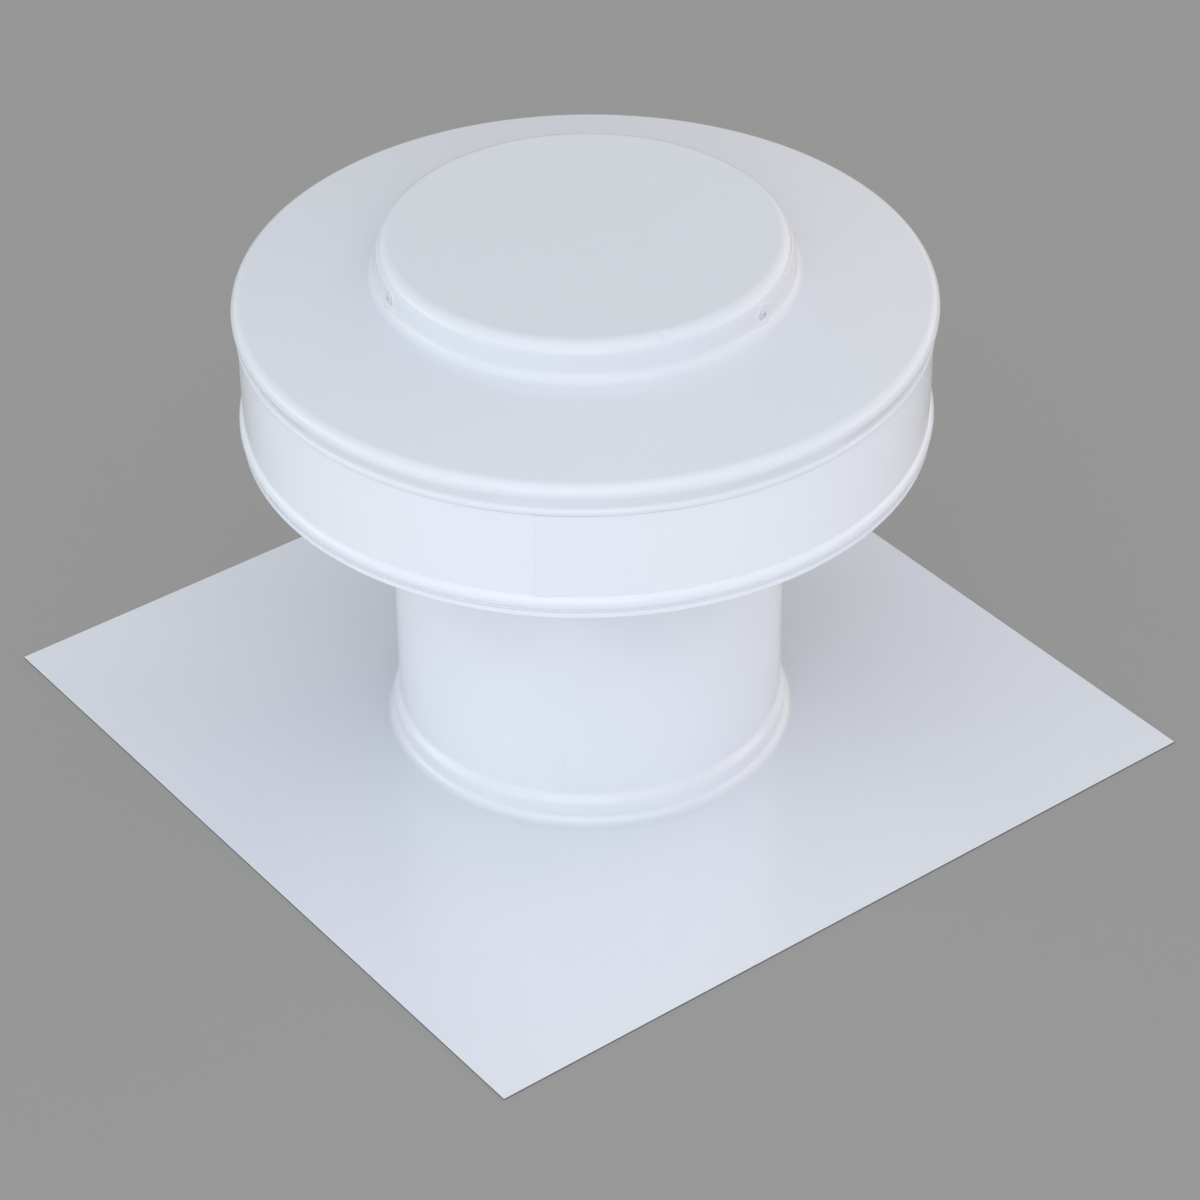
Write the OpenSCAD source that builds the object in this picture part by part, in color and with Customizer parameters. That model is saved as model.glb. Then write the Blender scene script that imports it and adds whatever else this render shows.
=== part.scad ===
// Static roof vent: a square base flashing with a drawn collar, a round neck tube,
// and a round cap, a spun lid locked onto a rolled band, carried on three riveted brackets.
// Millimetres. The origin is the centre of the flashing's underside, +Z is up.

/* [Base flashing] */
// Side of the square sheet
base_side = 444.5; // [350:0.5:600]
// Sheet thickness of the flashing
base_sheet = 0.8; // [0.6:0.1:1.2]
// Radius of the drawn curve between the sheet and its collar
base_curve = 13; // [9:0.1:16]
// How far the collar reaches up inside the plain tube
collar_overlap = 13; // [6:0.5:25]

/* [Neck tube] */
// Outside radius of the plain tube
neck_radius = 102.4; // [80:0.1:115]
// Sheet thickness of the tube
neck_sheet = 0.8; // [0.6:0.1:1.2]
// Height of the tube's top edge above the roof
neck_top = 222; // [212:1:232]
// How far the foot is widened, to sit on the drawn curve
foot_width = 2.8; // [1.2:0.1:4]
// Height of the widened foot
foot_height = 5.8; // [4:0.1:12]
// Height of the flare between the widened foot and the plain tube
flare_height = 6.9; // [3:0.1:10]
// Gap between the foot's inner edge and the drawn curve under it
foot_gap = 0.3; // [0.1:0.1:0.6]
// Direction of the lap seam, seen from above
neck_seam_angle = -134.7; // [-160:0.1:-110]
// How far the seam's outer layer stands out at its edge
neck_lap = 0.3; // [0.2:0.1:1]

/* [Band] */
// Outside radius of the band
band_radius = 175.6; // [155:0.1:200]
// Sheet thickness of the band
band_sheet = 0.8; // [0.6:0.1:1.2]
// Height of the band's lower edge above the roof
band_bottom = 186; // [175:0.5:195]
// Height of the band from its lower edge to the lid's lip
band_height = 60; // [52:0.5:80]
// How far the band's upper edge reaches up the lid's skirt above the lock groove
band_tuck = 4.5; // [2:0.1:5]
// How far the bead stands out of the band
bead_width = 2; // [1:0.1:2.6]
// Height of the bead's middle above the band's lower edge
bead_height = 8.1; // [7.6:0.1:14]
// Radius of the bead's round face
bead_round = 5.2; // [4:0.1:6]
// Height of the folded hem
hem_height = 3.1; // [2:0.1:3.4]
// Direction of the lap seam, seen from above
band_seam_angle = -135.2; // [-160:0.1:-110]
// How far the seam's outer layer stands out at its edge
band_lap = 0.6; // [0.4:0.1:1]

/* [Lap seams] */
// Width of the overlap along the surface
lap_width = 16; // [10:1:30]
// Gap between the ends of a lap and the bead, flare or lip next to it
lap_gap = 0.2; // [0.1:0.1:1]

/* [Lid] */
// Sheet thickness of the lid
lid_sheet = 0.9; // [0.7:0.1:1.2]
// Height of the lip's straight face
lip_height = 1; // [0.6:0.1:3]
// Radius of the lip's rounded shoulder
shoulder_round = 2.4; // [2.4:0.1:3.5]
// Radius of the lock groove above the shoulder
groove_round = 2; // [1.5:0.1:3]
// Depth of the lock groove, which holds the lid's skirt on the band
groove_depth = 0.8; // [0.5:0.1:1.2]
// Lean of the skirt between the groove and the rim, in degrees
skirt_lean = 20; // [16:1:24]
// How far the rim stands out beyond the lip
rim_width = 1.6; // [1.2:0.1:4]
// Radius of the rim's roll
rim_round = 6; // [4.5:0.1:8]
// Slope of the lid between the rim and the crown, in degrees
lid_slope = 9.3; // [6:0.1:14]
// How far the raised crown's wall stands out beyond the neck
crown_overhang = 1.8; // [0.5:0.1:8]
// Height of the crown's flat top above the slope at its wall
crown_height = 19.9; // [18:0.1:35]
// Radius of the crown's upper edge
crown_round = 7.4; // [4:0.1:8]
// Radius of the hollow curve at the crown's foot
crown_foot = 6.6; // [2:0.1:8]

/* [Brackets] */
// Direction of the bracket behind the left rivet, seen from above
left_angle = 165.7; // [150:0.1:180]
// Direction of the bracket at the back, seen from above
back_angle = 47.3; // [35:0.1:60]
// Direction of the bracket behind the right rivet, seen from above
right_angle = -71.1; // [-85:0.1:-60]
// Width of a bracket's strip
bracket_width = 25; // [16:1:40]
// Thickness of a bracket's strip
bracket_sheet = 1.2; // [1:0.1:2]
// How far a bracket reaches down the neck from its top edge
bracket_overlap = 30; // [26:1:36]
// Height of the bend's lower end above the neck's top edge
bend_gap = 8; // [4:1:12]
// Height of the bend itself
bend_height = 12; // [8:1:16]

/* [Rivets] */
// Radius of a rivet's shank
shank_radius = 1.6; // [1.3:0.1:2.1]
// Radius of a rivet's head
head_radius = 3.4; // [2.6:0.1:4.5]
// Height of a rivet's head
head_height = 1.3; // [1:0.1:2]
// Thickness of the head at its edge
head_edge = 0.4; // [0.2:0.1:0.6]
// Radius of the hole that the mandrel leaves in the head
mandrel_radius = 1; // [0.6:0.1:1.2]
// Depth of the mandrel's hole
mandrel_depth = 2; // [1.6:0.1:3]
// Radius of the swollen end on the blind side
bulb_radius = 2.4; // [2.2:0.1:3.2]
// Length of the swollen end
bulb_length = 3; // [2:0.1:5]
// Depth of the upper rivets below the crown's flat top
crown_rivet_depth = 12.4; // [11:0.1:15]
// Depth of the lower rivets below the neck's top edge
neck_rivet_depth = 20; // [10:0.5:22]

/* [Hidden] */
$fn = 128;
// Room between a rivet's shank and its hole, and behind its swollen end
rivet_gap = 0.05;
// How far a cutting shape runs past what it cuts
past = 1;
// Turn between two points along an arc of a rolled section, at most
arc_step = 5;
// How far a lap's outer layer is rooted in the wall under it
root_depth = 0.3;
// How far the ring round the drawn curve reaches into the square sheet
ring_join = 4;

neck_bore = neck_radius - neck_sheet;
curve_centre = [neck_bore + base_curve, base_sheet + base_curve];

// The widened foot comes down on the drawn curve with its inner edge
foot_bottom = curve_height(neck_bore + foot_width) + foot_gap;
foot_top = foot_bottom + foot_height;
flare_top = foot_top + flare_height;

lip_bottom = band_bottom + band_height;
bead_centre = [band_radius + bead_width - bead_round, band_bottom + bead_height];
bead_turn = acos(1 - bead_width / bead_round);
bead_top = bead_centre.y + bead_round * sin(bead_turn);

// Section of the lid outside the band: lip, shoulder, lock groove, leaning skirt and rim
lip_radius = band_radius + lid_sheet;
shoulder_centre = [lip_radius - shoulder_round, lip_bottom + lip_height];
groove_turn = acos(1 - groove_depth / (shoulder_round + groove_round));
groove_centre = shoulder_centre + (shoulder_round + groove_round) * ray(groove_turn);
rim_x = lip_radius + rim_width - rim_round;
rim_centre = [
    rim_x,
    groove_centre.y + ((rim_x - groove_centre.x) * cos(skirt_lean) + rim_round + groove_round)
        / sin(skirt_lean)
];
slope_start = rim_centre + rim_round * ray(90 - lid_slope);

crown_radius = neck_radius + crown_overhang;
crown_bore = crown_radius - lid_sheet;
crown_top = slope_height(crown_radius) + crown_height;
crown_centre = [crown_radius - crown_round, crown_top - crown_round];
foot_centre = [
    crown_radius + crown_foot,
    slope_height(crown_radius + crown_foot) + crown_foot / cos(lid_slope)
];

bracket_bottom = neck_top - bracket_overlap;
bracket_top = crown_centre.y - rivet_gap;
bend_bottom = neck_top + bend_gap;
bend_top = bend_bottom + bend_height;
bracket_turn = bracket_width / neck_radius * 180 / PI;

crown_rivet_height = crown_top - crown_rivet_depth;
neck_rivet_height = neck_top - neck_rivet_depth;
bracket_angles = [left_angle, back_angle, right_angle];

paint = [0.88, 0.9, 0.94];
rivet_paint = [0.89, 0.91, 0.94];
bracket_paint = [0.8, 0.82, 0.85];

// Height of the drawn curve's upper face at a radius
function curve_height(r) =
    curve_centre.y - sqrt(pow(base_curve, 2) - pow(curve_centre.x - r, 2));

// Height of the lid's sloping face at a radius
function slope_height(r) = slope_start.y + (slope_start.x - r) * tan(lid_slope);

function ray(angle) = [cos(angle), sin(angle)];

// Points along an arc, one at least every few degrees
function arc(centre, radius, from, to) =
    let (steps = ceil(abs(to - from) / arc_step))
    [for (i = [0:steps]) centre + radius * ray(from + (to - from) * i / steps)];

function reverse(points) = [for (i = [len(points) - 1:-1:0]) points[i]];

module base_flashing() {
    color(paint) {
        difference() {
            translate([-base_side / 2, -base_side / 2, 0])
                cube([base_side, base_side, base_sheet]);
            translate([0, 0, -past])
                cylinder(r = curve_centre.x + ring_join / 2, h = base_sheet + 2 * past);
        }
        rotate_extrude() collar_section();
    }
}

// The drawn curve, a quarter ring, with the flat round it and the upright collar above it
module collar_section() {
    reach = base_curve + base_sheet;
    intersection() {
        translate(curve_centre)
            difference() {
                circle(r = reach);
                circle(r = base_curve);
            }
        translate([curve_centre.x - reach, 0]) square([reach, curve_centre.y]);
    }
    translate([curve_centre.x, 0]) square([ring_join, base_sheet]);
    translate([neck_bore - base_sheet, curve_centre.y])
        square([base_sheet, flare_top + collar_overlap - curve_centre.y]);
}

module neck_tube() {
    color(paint)
        difference() {
            union() {
                rotate_extrude() neck_section();
                lap(neck_radius, neck_lap, flare_top + lap_gap, neck_top, neck_seam_angle);
            }
            rivet_holes(neck_rivet_height, neck_bore - past, neck_sheet + 2 * past);
        }
}

// The plain wall, the widened foot and the soft flare between them
module neck_section() {
    steps = 12;
    function widening(i) = foot_width * (1 + cos(180 * i / steps)) / 2;
    outer = concat(
        [[neck_radius + foot_width, foot_bottom]],
        [for (i = [0:steps]) [neck_radius + widening(i), foot_top + flare_height * i / steps]],
        [[neck_radius, neck_top]]
    );
    polygon(concat(outer, reverse([for (point = outer) point - [neck_sheet, 0]])));
}

module cap_band() {
    color(paint)
        union() {
            rotate_extrude() {
                polygon(concat(
                    band_outline(lid_sheet),
                    reverse(band_outline(lid_sheet + band_sheet))
                ));
                hem_section();
            }
            lap(band_radius, band_lap, bead_top + lap_gap, lip_bottom - lap_gap, band_seam_angle);
        }
}

// The band from its edge inside the skirt down to its lower edge, at a depth under the lid's face
function band_outline(depth) = concat(
    [lock_outline(depth)[0] + band_tuck * ray(90 - skirt_lean)],
    lock_outline(depth),
    arc(bead_centre, bead_round + lid_sheet - depth, bead_turn, -bead_turn),
    [[lip_radius - depth, band_bottom]]
);

// The lock groove and the shoulder, rolled into the lid and the band together
function lock_outline(depth) = concat(
    arc(groove_centre, groove_round + depth, 180 - skirt_lean, 180 + groove_turn),
    arc(shoulder_centre, shoulder_round - depth, groove_turn, 0)
);

// The lower edge folded outwards and up against the band
module hem_section() {
    translate([band_radius - band_sheet / 2, band_bottom + band_sheet])
        square([band_sheet * 3 / 2, hem_height - band_sheet]);
    intersection() {
        translate([band_radius, band_bottom + band_sheet]) circle(r = band_sheet);
        translate([band_radius - band_sheet / 2, band_bottom])
            square([band_sheet * 3 / 2, band_sheet]);
    }
}

module cap_lid() {
    color(paint)
        difference() {
            rotate_extrude()
                polygon(concat(lid_outline(0), reverse(lid_outline(lid_sheet))));
            rivet_holes(crown_rivet_height, crown_bore - past, lid_sheet + 2 * past);
        }
}

// The lid from the middle of the crown down to the lip, at a depth under its face
function lid_outline(depth) = concat(
    [[0, crown_top - depth]],
    arc(crown_centre, crown_round - depth, 90, 0),
    arc(foot_centre, crown_foot + depth, 180, 270 - lid_slope),
    arc(rim_centre, rim_round - depth, 90 - lid_slope, -skirt_lean),
    lock_outline(depth),
    [[lip_radius - depth, lip_bottom]]
);

// The outer layer of a lap: a full step at its edge that dies away over the overlap
module lap(radius, step, bottom, top, edge_angle) {
    steps = 6;
    turn = lap_width / radius * 180 / PI;
    rotate([0, 0, edge_angle])
        translate([0, 0, bottom])
            linear_extrude(top - bottom)
                polygon(concat(
                    [for (i = [0:steps]) (radius + step * (1 - i / steps)) * ray(turn * i / steps)],
                    [for (i = [steps:-1:0]) (radius - root_depth) * ray(turn * i / steps)]
                ));
}

// Holes for the rivets of all three brackets, drilled outwards from a radius
module rivet_holes(height, start, length) {
    for (angle = bracket_angles)
        rotate([0, 0, angle])
            translate([start, 0, height])
                rotate([0, 90, 0])
                    cylinder(r = shank_radius + rivet_gap, h = length);
}

// A strip rolled to the neck, bent above it to stand inside the crown
module bracket(angle) {
    color(bracket_paint)
        difference() {
            rotate([0, 0, angle - bracket_turn / 2])
                rotate_extrude(angle = bracket_turn)
                    polygon([
                        [neck_radius, bracket_bottom],
                        [neck_radius + bracket_sheet, bracket_bottom],
                        [neck_radius + bracket_sheet, bend_bottom],
                        [crown_bore, bend_top],
                        [crown_bore, bracket_top],
                        [crown_bore - bracket_sheet, bracket_top],
                        [crown_bore - bracket_sheet, bend_top],
                        [neck_radius, bend_bottom]
                    ]);
            rivet_holes(neck_rivet_height, neck_radius - past, bracket_sheet + 2 * past);
            rivet_holes(crown_rivet_height, crown_bore - bracket_sheet - past, bracket_sheet + 2 * past);
        }
}

module bracket_left() { bracket(left_angle); }
module bracket_back() { bracket(back_angle); }
module bracket_right() { bracket(right_angle); }

// A blind rivet along a ray from the axis: head outside, swollen end inside
module blind_rivet(angle, height, seat_radius, grip) {
    dome = head_height - head_edge;
    dome_radius = (pow(head_radius, 2) + pow(dome, 2)) / (2 * dome);
    blind_end = grip + rivet_gap;
    color(rivet_paint)
        rotate([0, 0, angle])
            translate([seat_radius, 0, height])
                rotate([0, 90, 0])
                    rotate_extrude()
                        difference() {
                            union() {
                                square([head_radius, head_edge]);
                                intersection() {
                                    translate([0, head_height - dome_radius]) circle(r = dome_radius);
                                    square([head_radius, head_height]);
                                }
                                translate([0, -blind_end]) square([shank_radius, blind_end]);
                                translate([0, -blind_end - bulb_length])
                                    square([bulb_radius, bulb_length]);
                            }
                            translate([0, head_height - mandrel_depth])
                                square([mandrel_radius, mandrel_depth + past]);
                        }
}

module crown_rivet(angle) {
    blind_rivet(angle, crown_rivet_height, crown_radius, lid_sheet + bracket_sheet);
}

module crown_rivet_left() { crown_rivet(left_angle); }
module crown_rivet_back() { crown_rivet(back_angle); }
module crown_rivet_right() { crown_rivet(right_angle); }

module neck_rivet(angle) {
    blind_rivet(angle, neck_rivet_height, neck_radius + bracket_sheet, bracket_sheet + neck_sheet);
}

module neck_rivet_left() { neck_rivet(left_angle); }
module neck_rivet_back() { neck_rivet(back_angle); }
module neck_rivet_right() { neck_rivet(right_angle); }

base_flashing();
neck_tube();
cap_band();
cap_lid();
bracket_left();
bracket_back();
bracket_right();
crown_rivet_left();
crown_rivet_back();
crown_rivet_right();
neck_rivet_left();
neck_rivet_back();
neck_rivet_right();
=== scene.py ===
"""Static roof vent: a round cap on a round neck on a square flashing, all of white powder-coated sheet."""

import math

import bpy
from mathutils import Matrix, Vector


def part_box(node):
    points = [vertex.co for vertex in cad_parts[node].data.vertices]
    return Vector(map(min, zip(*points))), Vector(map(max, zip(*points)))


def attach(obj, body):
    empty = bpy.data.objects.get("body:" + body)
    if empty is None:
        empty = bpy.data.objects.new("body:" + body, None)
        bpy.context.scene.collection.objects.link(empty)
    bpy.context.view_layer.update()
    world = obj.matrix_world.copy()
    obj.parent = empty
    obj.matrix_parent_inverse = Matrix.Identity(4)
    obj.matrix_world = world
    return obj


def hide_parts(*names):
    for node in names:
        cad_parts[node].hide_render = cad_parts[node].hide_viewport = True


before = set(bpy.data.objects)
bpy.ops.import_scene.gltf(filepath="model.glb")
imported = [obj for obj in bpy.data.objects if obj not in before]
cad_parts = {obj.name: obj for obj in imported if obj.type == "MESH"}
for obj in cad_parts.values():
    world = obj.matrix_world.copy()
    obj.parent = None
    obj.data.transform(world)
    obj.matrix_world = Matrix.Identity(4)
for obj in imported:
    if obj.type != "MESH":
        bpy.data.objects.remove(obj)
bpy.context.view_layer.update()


# Base flashing
# One square of aluminium sheet with a collar drawn up from its middle, washed and powder-coated white.
# It lies on the roof deck, its upper half under the shingles, and is nailed through its sheet.

MM = 0.001


class Finish:
    """A socket in the nodes of a finish. Arithmetic on it adds the nodes that work the result out."""

    def __init__(self, tree, socket=None):
        self.tree, self.socket = tree, socket

    def node(self, kind, out=0, inputs=None, stops=None, **settings):
        """Adds a node: its settings first, then its sockets, and returns one of its outputs."""
        made = self.tree.nodes.new("ShaderNode" + kind)
        for name, value in settings.items():
            setattr(made, name, value)
        if stops:
            ramp = made.color_ramp
            while len(ramp.elements) < len(stops):
                ramp.elements.new(1)
            for element, (position, level) in zip(ramp.elements, stops):
                element.position = position
                element.color = (level, level, level, 1)
        for name, value in (inputs or {}).items():
            if isinstance(value, Finish):
                self.tree.links.new(value.socket, made.inputs[name])
            else:
                made.inputs[name].default_value = value
        return Finish(self.tree, made.outputs[out])

    def math(self, operation, *values):
        return self.node("Math", operation=operation, inputs=dict(enumerate(values)))

    def __add__(self, other):
        return self.math("ADD", self, other)

    def __sub__(self, other):
        return self.math("SUBTRACT", self, other)

    def __rsub__(self, other):
        return self.math("SUBTRACT", other, self)

    def __mul__(self, other):
        return self.math("MULTIPLY", self, other)

    __radd__, __rmul__ = __add__, __mul__

    def smooth(self, low, high):
        """0 at low, 1 at high, with a soft rise between them."""
        return self.node("MapRange", interpolation_type="SMOOTHSTEP", inputs={
            "Value": self, "From Min": low, "From Max": high})

    def noise(self, size, detail=2.0, roughness=0.5, stretch=(1, 1, 1)):
        """Noise with features about size metres across, finer along an axis that is stretched; self is a place."""
        place = self.node("VectorMath", operation="MULTIPLY", inputs={0: self, 1: stretch})
        return self.node("TexNoise", inputs={
            "Vector": place, "Scale": 1 / size, "Detail": detail, "Roughness": roughness})

    def along(self, axis):
        """How far a place lies along an axis, in metres."""
        return self.node("VectorMath", out=1, operation="DOT_PRODUCT", inputs={0: self, 1: axis})

    def distance(self, point):
        """How far a place is from a point, in metres."""
        return self.node("VectorMath", out=1, operation="DISTANCE", inputs={0: self, 1: point})

    def blend(self, first, second):
        """A colour between two, by self from 0 to 1."""
        return self.node("Mix", out=2, data_type="RGBA", inputs={0: self, 6: first, 7: second})

    def relief(self, height):
        """A height in metres, turned into the slope that light sees."""
        return self.node("Bump", inputs={"Height": height, "Strength": 1.0, "Distance": 1.0})


def new_finish(name, *nodes):
    """A new material in the slots of CAD nodes: its shader, and the place on the sheet."""
    material = bpy.data.materials.new(name)
    material.use_nodes = True
    for node in nodes:
        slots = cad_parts[node].data.materials
        slots.clear()
        slots.append(material)
    place = Finish(material.node_tree).node("TexCoord", out="Object")
    return material.node_tree.nodes["Principled BSDF"], place


def feed(shader, **sockets):
    """Sets a shader's sockets: a finish is linked, a number or colour is set."""
    for name, value in sockets.items():
        socket = shader.inputs[name.replace("_", " ")]
        if isinstance(value, Finish):
            value.tree.links.new(value.socket, socket)
        else:
            socket.default_value = value


WHITE_COAT = (0.745, 0.783, 0.866, 1)
HANDLED_COAT = (0.690, 0.728, 0.806, 1)


def powder_coat(shader, place, shape=0.0, painted_shade=None, peel_height=0.034, waves=1.0, gloss=1.5,
                white=WHITE_COAT):
    """Glossy white powder coat: orange peel, soft clouding where it went on thicker, handling marks.

    shape is a height in metres of the sheet itself; painted_shade is 1 where shade is painted into the colour,
    with the colour of that painted shade;
    peel_height is in mm, waves is how uneven the sheet lies, gloss the coat's index of refraction."""
    thick = place.noise(90 * MM, detail=2).smooth(0.32, 0.70)
    handled = place.noise(38 * MM, detail=3, roughness=0.68, stretch=(1, 1, 1.6)).smooth(0.53, 0.78)
    grit = place.noise(1.3 * MM, detail=1).smooth(0.66, 0.80)
    pinholes = place.noise(2.4 * MM, detail=0).smooth(0.80, 0.86)
    tone = thick * 0.16 + handled * 0.10 + grit * 0.10 + pinholes * 0.25
    colour = tone.blend(white, HANDLED_COAT)
    # Where painted shade is given, its darker colour is laid over the coat's white.
    if painted_shade:
        mask, shade_colour = painted_shade
        colour = mask.blend(colour, shade_colour)
    peel = place.noise(3.1 * MM, detail=3, roughness=0.5) * (peel_height * MM)
    roll = place.noise(15 * MM, detail=1) * (0.07 * waves * MM)
    pull = place.noise(120 * MM, detail=1) * (0.6 * waves * MM)
    feed(shader, Base_Color=colour,
         Roughness=0.115 + thick * 0.03 + handled * 0.05 + grit * 0.04,
         Normal=place.relief(peel + roll + pull + shape),
         IOR=gloss)


# The cut edges are coloured near black: painted shade on the sheet's thin sides. One edge has a small knock
SHEET_SIDE = 444.5
CUT_EDGE_SHADE = (0.105, 0.110, 0.120, 1)
EDGE_KNOCK = (-222.3 * MM, -112.4 * MM, 0.8 * MM)

shader, place = new_finish("flashing_paint", "base_flashing")
across = place.math("ABSOLUTE", place.along((1, 0, 0)))
across_other = place.math("ABSOLUTE", place.along((0, 1, 0)))
outermost = place.math("MAXIMUM", across, across_other)
# The thin sides of the sheet get a near-black colour: painted shade.
cut_edge_shade = outermost.smooth((SHEET_SIDE / 2 - 0.12) * MM, (SHEET_SIDE / 2 - 0.02) * MM)
knock = 1 - place.distance(EDGE_KNOCK).smooth(0.5 * MM, 4.5 * MM)
powder_coat(shader, place, shape=knock * (0.5 * MM), painted_shade=(cut_edge_shade, CUT_EDGE_SHADE), peel_height=0.020, waves=0.5)

# The sheet itself: the upright collar, its drawn curve tight where it shows below the neck's foot
SHEET = 0.8
COLLAR_RADIUS = 101.6
DRAWN_CENTRE = (114.6, 13.8)
DRAWN_RADIUS = 13.0
TIGHT_CENTRE = (109.6, 5.6)
TIGHT_REACH, TIGHT_RISE = 5.0, 4.8
COLLAR_SPOKES = 288
collar_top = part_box("base_flashing")[1][2] / MM


def collar_profile(depth):
    """Radius and height in mm of the sheet's face at a depth below its outer face, from the top downwards."""
    points = [(COLLAR_RADIUS - depth, collar_top - k * (collar_top - DRAWN_CENTRE[1]) / 4) for k in range(5)]
    for degrees in range(5, 36, 5):
        turn = math.radians(degrees)
        reach = DRAWN_RADIUS + depth
        points.append((DRAWN_CENTRE[0] - reach * math.cos(turn), DRAWN_CENTRE[1] - reach * math.sin(turn)))
    for k in range(19):
        turn = math.radians(90 * k / 18)
        points.append((TIGHT_CENTRE[0] - (TIGHT_REACH + depth) * math.cos(turn),
                       TIGHT_CENTRE[1] - (TIGHT_RISE + depth) * math.sin(turn)))
    return points


def spoke_point(spoke, radius, height, out_share=0.0):
    """A point on a spoke round the collar, moved by a share of the way to the sheet's square outline."""
    turn = math.tau * spoke / COLLAR_SPOKES
    edge = SHEET_SIDE / 2 / max(abs(math.cos(turn)), abs(math.sin(turn)))
    reach = radius + (edge - radius) * out_share
    return Vector((reach * math.cos(turn), reach * math.sin(turn), height)) * MM


FLAT_SHARES = (0.006, 0.03, 0.1, 0.25, 0.5, 0.75, 0.999, 1.0)
upper = [(r, z, 0.0) for r, z in collar_profile(0.0)] + [
    (TIGHT_CENTRE[0], SHEET, share) for share in FLAT_SHARES]
lower = [(r, z, 0.0) for r, z in collar_profile(SHEET)] + [
    (TIGHT_CENTRE[0], 0.0, share) for share in FLAT_SHARES]
loop = upper + lower[::-1]
points = [spoke_point(spoke, *place_on) for place_on in loop for spoke in range(COLLAR_SPOKES)]
faces = []
for k in range(len(loop)):
    after = (k + 1) % len(loop)
    for spoke in range(COLLAR_SPOKES):
        beside = (spoke + 1) % COLLAR_SPOKES
        faces.append((k * COLLAR_SPOKES + spoke, after * COLLAR_SPOKES + spoke,
                      after * COLLAR_SPOKES + beside, k * COLLAR_SPOKES + beside))
mesh = bpy.data.meshes.new("flashing_sheet")
mesh.from_pydata(points, [], faces)
for face in mesh.polygons:
    face.use_smooth = True
mesh.set_sharp_from_angle(angle=math.radians(40))
mesh.materials.append(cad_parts["base_flashing"].data.materials[0])
flashing = bpy.data.objects.new("flashing_sheet", mesh)
bpy.context.scene.collection.objects.link(flashing)
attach(flashing, "root")
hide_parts("base_flashing")


# Neck tube
# A strip of the same sheet rolled round and lapped at one seam, its foot widened to slide over the
# collar and down onto the flashing's drawn curve. It is coated after rolling.

ROLLED_PEEL = 0.075

shader, place = new_finish("neck_paint", "neck_tube")
powder_coat(shader, place, peel_height=ROLLED_PEEL)


# Band
# A second strip, rolled and lapped like the neck, with a bead for stiffness and a hem folded outwards
# along its lower edge. Its upper edge is locked inside the lid's skirt.

BAND_SEAM_ANGLE = math.radians(-135.2)
BAND_SEAM_OUT = (math.cos(BAND_SEAM_ANGLE), math.sin(BAND_SEAM_ANGLE), 0)
BAND_SEAM_ACROSS = (-math.sin(BAND_SEAM_ANGLE), math.cos(BAND_SEAM_ANGLE), 0)
# The grey of the painted shade under the lid's lip.
JOINT_SHADE_GREY = (0.60, 0.63, 0.70, 1)

shader, place = new_finish("band_paint", "cap_band")
seam_side = place.along(BAND_SEAM_OUT).smooth(20 * MM, 40 * MM)
from_seam = place.math("ABSOLUTE", place.along(BAND_SEAM_ACROSS))
seam_swell = (1 - from_seam.smooth(0.3 * MM, 5.0 * MM)) * seam_side
# A thin grey line just under the lid's lip is painted shade, where the lip shades the top of the band.
lip_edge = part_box("cap_lid")[0][2]
painted_joint_shade = place.along((0, 0, 1)).smooth(lip_edge - 1.35 * MM, lip_edge - 0.95 * MM)
powder_coat(shader, place, shape=seam_swell * (0.25 * MM), painted_shade=(painted_joint_shade, JOINT_SHADE_GREY),
            peel_height=ROLLED_PEEL, gloss=1.42)


# Lid
# Spun from one disc: a flat crown with a rounded edge, a gentle slope, a rolled rim, and a skirt whose
# lock groove holds the band. The crown's edge has one small nick.

CROWN_RADIUS = 104.2
CROWN_TOP = 294.63
NICK_ANGLE = math.radians(-105.2)
# The lid's white is the same coat as the neck and band, made darker: painted shade over the whole lid.
SHADED_LID_COAT = (0.702, 0.738, 0.817, 1)

shader, place = new_finish("lid_paint", "cap_lid")
lid_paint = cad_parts["cap_lid"].data.materials[0]
nick_place = Vector((
    101.6 * math.cos(NICK_ANGLE), 101.6 * math.sin(NICK_ANGLE), CROWN_TOP - 1.6)) * MM
nick = 1 - place.distance(nick_place).smooth(0.4 * MM, 3.4 * MM)
powder_coat(shader, place, shape=nick * (-0.55 * MM), gloss=1.41, white=SHADED_LID_COAT)


# Brackets
# Three short strips of bare mill-finish aluminium, cut with a shear, bent twice and left uncoated.

BRACKET_METAL = (0.62, 0.63, 0.65, 1)
BRACKET_OXIDE = (0.46, 0.47, 0.49, 1)


def mill_finish(shader, place, clean, oxide, rough, shiny=1.0):
    """Bare rolled aluminium: grain along the strip, blotches of dull oxide. shiny is how little has dulled."""
    grain = place.noise(4 * MM, detail=4, roughness=0.7, stretch=(6, 6, 0.3))
    blotches = place.noise(14 * MM, detail=3).smooth(0.40, 0.70)
    feed(shader, Base_Color=(grain * 0.5 + blotches * 0.4).blend(clean, oxide),
         Metallic=shiny, Roughness=rough - 0.08 + grain * 0.16 + blotches * 0.10,
         Normal=place.relief(grain * (0.02 * MM)))


shader, place = new_finish("bracket_metal", "bracket_left", "bracket_back", "bracket_right")
mill_finish(shader, place, BRACKET_METAL, BRACKET_OXIDE, rough=0.36)


# Rivets
# Blind rivets of aluminium, set after painting, so their domed heads are dull metal. Round each crown
# rivet the lid's sheet is drawn out into a low swollen ring.

RIVET_METAL = (0.69, 0.73, 0.79, 1)
RIVET_OXIDE = (0.58, 0.62, 0.68, 1)
RIVET_HEIGHT = 282.23
RIVET_ANGLES = {"left": 165.7, "back": 47.3, "right": -71.1}
SHANK_HOLE = 1.7
SWELL_RADIUS = 7.6
SWELL_HEIGHT = 0.5
SWELL_RINGS = 12
SWELL_SPOKES = 56

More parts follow.
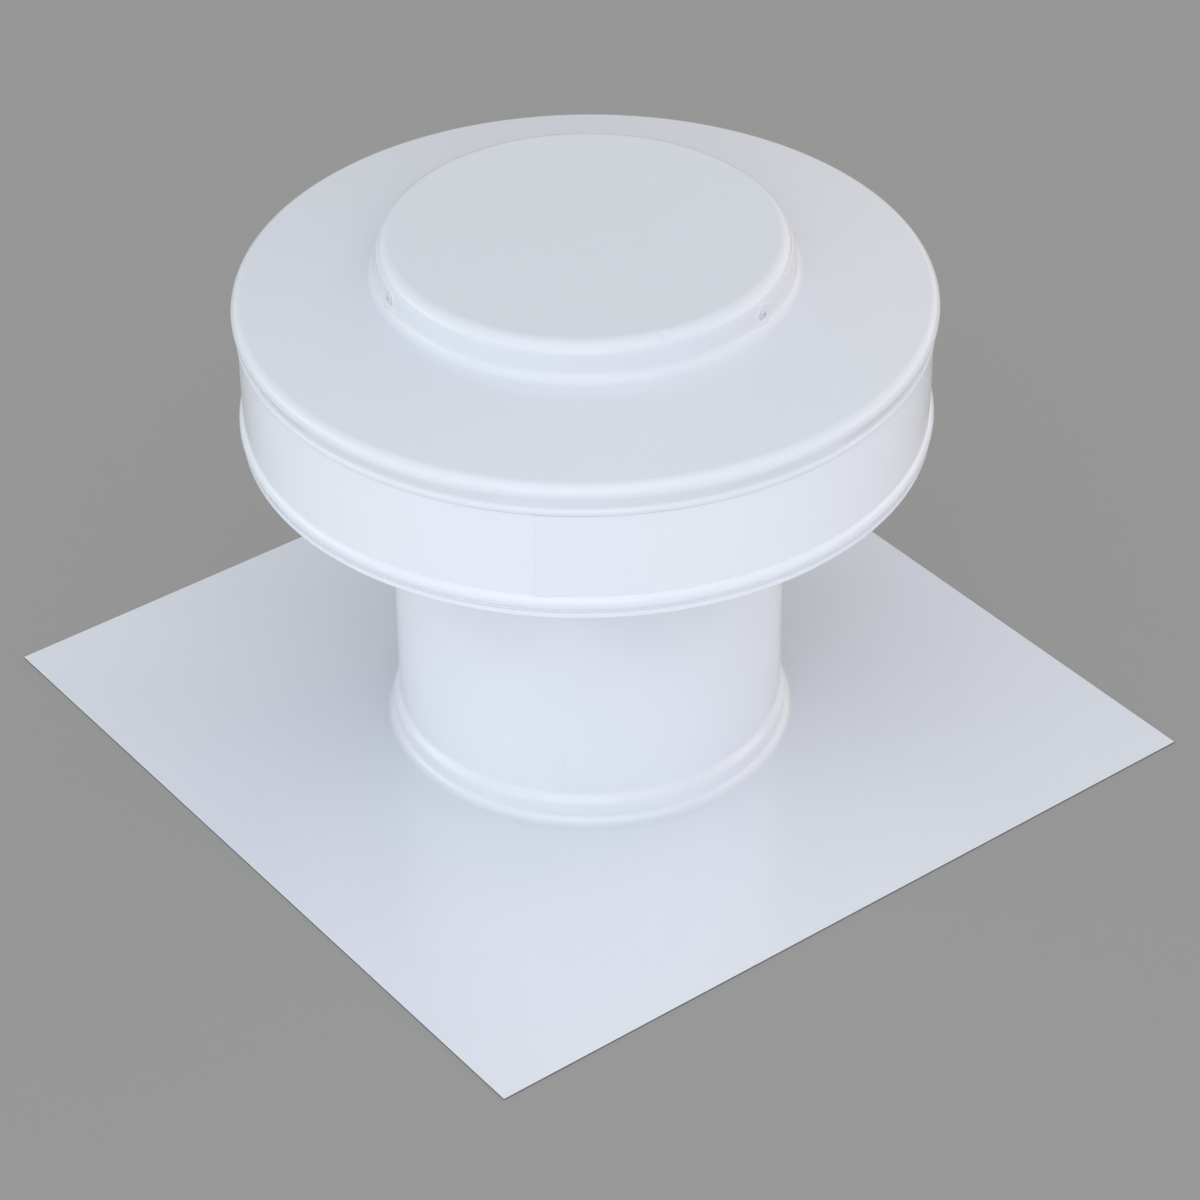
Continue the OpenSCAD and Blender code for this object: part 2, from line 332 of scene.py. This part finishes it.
shader, place = new_finish("rivet_metal", *("crown_rivet_" + side for side in RIVET_ANGLES),
                           *("neck_rivet_" + side for side in RIVET_ANGLES))
mill_finish(shader, place, RIVET_METAL, RIVET_OXIDE, rough=0.40, shiny=0.35)


def crown_wall(height):
    """The crown's outer face at a height in mm, its radius and how far it leans up: foot curve, wall, edge."""
    foot_round, foot_height = 6.6, 280.35
    top_round, top_height = 7.4, CROWN_TOP - 7.4
    if height < foot_height:
        lean = math.asin(min((foot_height - height) / foot_round, 1))
        return CROWN_RADIUS + foot_round * (1 - math.cos(lean)), lean
    lean = math.asin(min(max(height - top_height, 0) / top_round, 1))
    return CROWN_RADIUS - top_round * (1 - math.cos(lean)), lean


def rivet_swelling(name, angle):
    """A closed ring of sheet that rises from the crown's wall round a rivet's head."""
    def point(ring, spoke, lifted):
        reach = SHANK_HOLE + (SWELL_RADIUS - SHANK_HOLE) * ring / SWELL_RINGS
        turn = math.tau * spoke / SWELL_SPOKES
        height = RIVET_HEIGHT + reach * math.sin(turn)
        round_by = angle + reach * math.cos(turn) / CROWN_RADIUS
        swell = SWELL_HEIGHT * math.sin(math.pi * ring / SWELL_RINGS) ** 2
        radius, lean = crown_wall(height)
        off_wall = swell - 0.06 if lifted else -0.45
        radius += off_wall * math.cos(lean)
        height += off_wall * math.sin(lean)
        return Vector((radius * math.cos(round_by), radius * math.sin(round_by), height)) * MM

    # One loop per ring: the lifted face outwards, then the hidden face back inwards
    loops = [(ring, True) for ring in range(SWELL_RINGS + 1)]
    loops += [(ring, False) for ring in range(SWELL_RINGS, -1, -1)]
    points = [point(ring, spoke, lift) for ring, lift in loops for spoke in range(SWELL_SPOKES)]
    faces = []
    for k in range(len(loops)):
        after = (k + 1) % len(loops)
        for spoke in range(SWELL_SPOKES):
            beside = (spoke + 1) % SWELL_SPOKES
            faces.append((k * SWELL_SPOKES + spoke, after * SWELL_SPOKES + spoke,
                          after * SWELL_SPOKES + beside, k * SWELL_SPOKES + beside))
    mesh = bpy.data.meshes.new(name)
    mesh.from_pydata(points, [], faces)
    for face in mesh.polygons:
        face.use_smooth = True
    mesh.materials.append(lid_paint)
    piece = bpy.data.objects.new(name, mesh)
    bpy.context.scene.collection.objects.link(piece)
    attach(piece, "root")


# The mandrel's broken end, left in each head: how far out from the vent's axis, and its radius there
STUB_SPOKES = 24
STUB_PROFILE = ((103.6, 0.94), (104.74, 0.94), (104.88, 0.88), (104.93, 0.62), (104.90, 0.36), (104.97, 0.14))


def mandrel_end(name, angle):
    """A short round stub in a rivet's head, its end slightly ragged where it snapped off."""
    outwards = Vector((math.cos(angle), math.sin(angle), 0))
    sideways = Vector((-math.sin(angle), math.cos(angle), 0))
    points = []
    for out, radius in STUB_PROFILE:
        for spoke in range(STUB_SPOKES):
            turn = math.tau * spoke / STUB_SPOKES
            snapped = 0.04 * math.sin(3 * turn + 1) * (out > 104.85)
            points.append((outwards * (out + snapped) + sideways * (radius * math.cos(turn))
                           + Vector((0, 0, RIVET_HEIGHT + radius * math.sin(turn)))) * MM)
    faces = [tuple(reversed(range(STUB_SPOKES))),
             tuple(range(len(points) - STUB_SPOKES, len(points)))]
    for k in range(len(STUB_PROFILE) - 1):
        for spoke in range(STUB_SPOKES):
            beside = (spoke + 1) % STUB_SPOKES
            faces.append((k * STUB_SPOKES + spoke, k * STUB_SPOKES + beside,
                          (k + 1) * STUB_SPOKES + beside, (k + 1) * STUB_SPOKES + spoke))
    mesh = bpy.data.meshes.new(name)
    mesh.from_pydata(points, [], faces)
    for face in mesh.polygons:
        face.use_smooth = True
    mesh.set_sharp_from_angle(angle=math.radians(50))
    mesh.materials.append(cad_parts["crown_rivet_left"].data.materials[0])
    piece = bpy.data.objects.new(name, mesh)
    bpy.context.scene.collection.objects.link(piece)
    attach(piece, "root")


for side, degrees in RIVET_ANGLES.items():
    rivet_swelling("rivet_swelling_" + side, math.radians(degrees))
    mandrel_end("mandrel_end_" + side, math.radians(degrees))


# Camera
# A long lens, level with the photograph's, from the front left corner and above.

CAMERA_PLACE = Vector((-1.0155, -1.34396, 1.30796))
CAMERA_AZIMUTH = math.radians(-37.276)
CAMERA_ELEVATION = math.radians(36.377)
CAMERA_ROLL = math.radians(-0.544)
LENS_MM = 118.05

lens = bpy.data.cameras.new("camera")
lens.lens = LENS_MM
lens.sensor_width = 36
camera = bpy.data.objects.new("camera", lens)
bpy.context.scene.collection.objects.link(camera)


def towards(azimuth, elevation):
    """A direction out from the vent: azimuth 0 is the front, and a positive one is to the right."""
    return Vector((math.sin(azimuth) * math.cos(elevation),
                   -math.cos(azimuth) * math.cos(elevation),
                   math.sin(elevation)))


back = towards(CAMERA_AZIMUTH, CAMERA_ELEVATION)
right = Vector((math.cos(CAMERA_AZIMUTH), math.sin(CAMERA_AZIMUTH), 0))
up = back.cross(right)
roll = Matrix.Rotation(CAMERA_ROLL, 3, back)
camera.matrix_world = Matrix.Translation(CAMERA_PLACE) @ (
    roll @ Matrix((right, up, back)).transposed()).to_4x4()
bpy.context.scene.camera = camera


# Floor
# Plain pale paper. It lights the vent from below, and the camera and the gloss see it as an even grey
# that keeps a soft share of the vent's shadow.

FLOOR_REACH = 30
BACKDROP = (0.319, 0.319, 0.319, 1)
PAPER = (0.82, 0.82, 0.83, 1)
SHADOW_SHARE = 0.35

floor_mesh = bpy.data.meshes.new("floor")
floor_mesh.from_pydata(
    [(x * FLOOR_REACH, y * FLOOR_REACH, 0) for x, y in ((-1, -1), (1, -1), (1, 1), (-1, 1))],
    [], [(0, 1, 2, 3)])
floor = bpy.data.objects.new("floor", floor_mesh)
floor.location.z = -0.3 * MM
bpy.context.scene.collection.objects.link(floor)
paper = bpy.data.materials.new("floor_paper")
paper.use_nodes = True
paper.node_tree.nodes.remove(paper.node_tree.nodes["Principled BSDF"])
sheet = Finish(paper.node_tree)
seen = [sheet.node("LightPath", out=ray) for ray in ("Is Camera Ray", "Is Glossy Ray", "Is Transmission Ray")]
seen = seen[0] + seen[1] + seen[2]
even_grey = sheet.node("Emission", inputs={"Color": BACKDROP, "Strength": 1.0})
shaded_grey = sheet.node("BsdfDiffuse", inputs={"Color": BACKDROP})
looks = sheet.node("MixShader", inputs={0: SHADOW_SHARE, 1: even_grey, 2: shaded_grey})
white_paper = sheet.node("BsdfDiffuse", inputs={"Color": PAPER})
surface = sheet.node("MixShader", inputs={0: seen, 1: white_paper, 2: looks})
paper.node_tree.links.new(surface.socket, paper.node_tree.nodes["Material Output"].inputs["Surface"])
floor_mesh.materials.append(paper)


# Studio light
# Broad soft lights all round, brightest behind the camera: each is a wide soft patch of the sky, cooler
# on the left and warmer on the right. The camera itself sees an even grey there. A round lamp stands low
# at the front corner.

WIDE, SOFT, NARROW = 2, 6, 12
SOFT_LIGHTS = [
    # azimuth, elevation, how narrow the patch is, colour with its brightness
    (-37, 48, WIDE, (1.56, 1.62, 1.65)),
    (53, 15, SOFT, (0.30, 0.21, 0.12)),
    (98, 15, SOFT, (1.65, 1.48, 1.32)),
    (188, 15, SOFT, (0.88, 0.84, 0.83)),
    (53, 0, NARROW, (1.94, 1.78, 1.69)),
    (233, 0, NARROW, (2.94, 3.04, 2.95)),
    (278, 0, NARROW, (0.64, 0.68, 0.49)),
]
LAMP_AZIMUTH = math.radians(-42)
LAMP_REACH, LAMP_HEIGHT = 0.95, 0.42
LAMP_AIM = Vector((0, 0, 0.05))
LAMP_COLOUR = (1.0, 0.925, 1.0)

studio = bpy.data.worlds.new("studio")
studio.use_nodes = True
air = Finish(studio.node_tree)
direction = air.node("TexCoord", out="Generated")
light = None
for azimuth, elevation, narrowness, colour in SOFT_LIGHTS:
    facing = direction.along(towards(math.radians(azimuth), math.radians(elevation)))
    patch = air.math("POWER", air.math("MAXIMUM", facing, 0.0), narrowness)
    glow = air.node("VectorMath", operation="SCALE", inputs={0: colour, "Scale": patch})
    light = glow if light is None else air.node("VectorMath", operation="ADD", inputs={0: light, 1: glow})
seen = air.node("LightPath", out="Is Camera Ray")
sky = seen.node("Mix", out=2, data_type="RGBA", inputs={0: seen, 6: light, 7: BACKDROP})
background = studio.node_tree.nodes["Background"]
feed(background, Color=sky, Strength=1.0)
bpy.context.scene.world = studio

glow = bpy.data.lights.new("lamp", "AREA")
glow.shape = "DISK"
glow.size = 0.7
glow.energy = 0.94
glow.color = LAMP_COLOUR
lamp = bpy.data.objects.new("lamp", glow)
bpy.context.scene.collection.objects.link(lamp)
lamp.location = towards(LAMP_AZIMUTH, 0) * LAMP_REACH + Vector((0, 0, LAMP_HEIGHT))
lamp.rotation_euler = (lamp.location - LAMP_AIM).to_track_quat("Z", "Y").to_euler()

bpy.context.scene.view_settings.view_transform = "Standard"
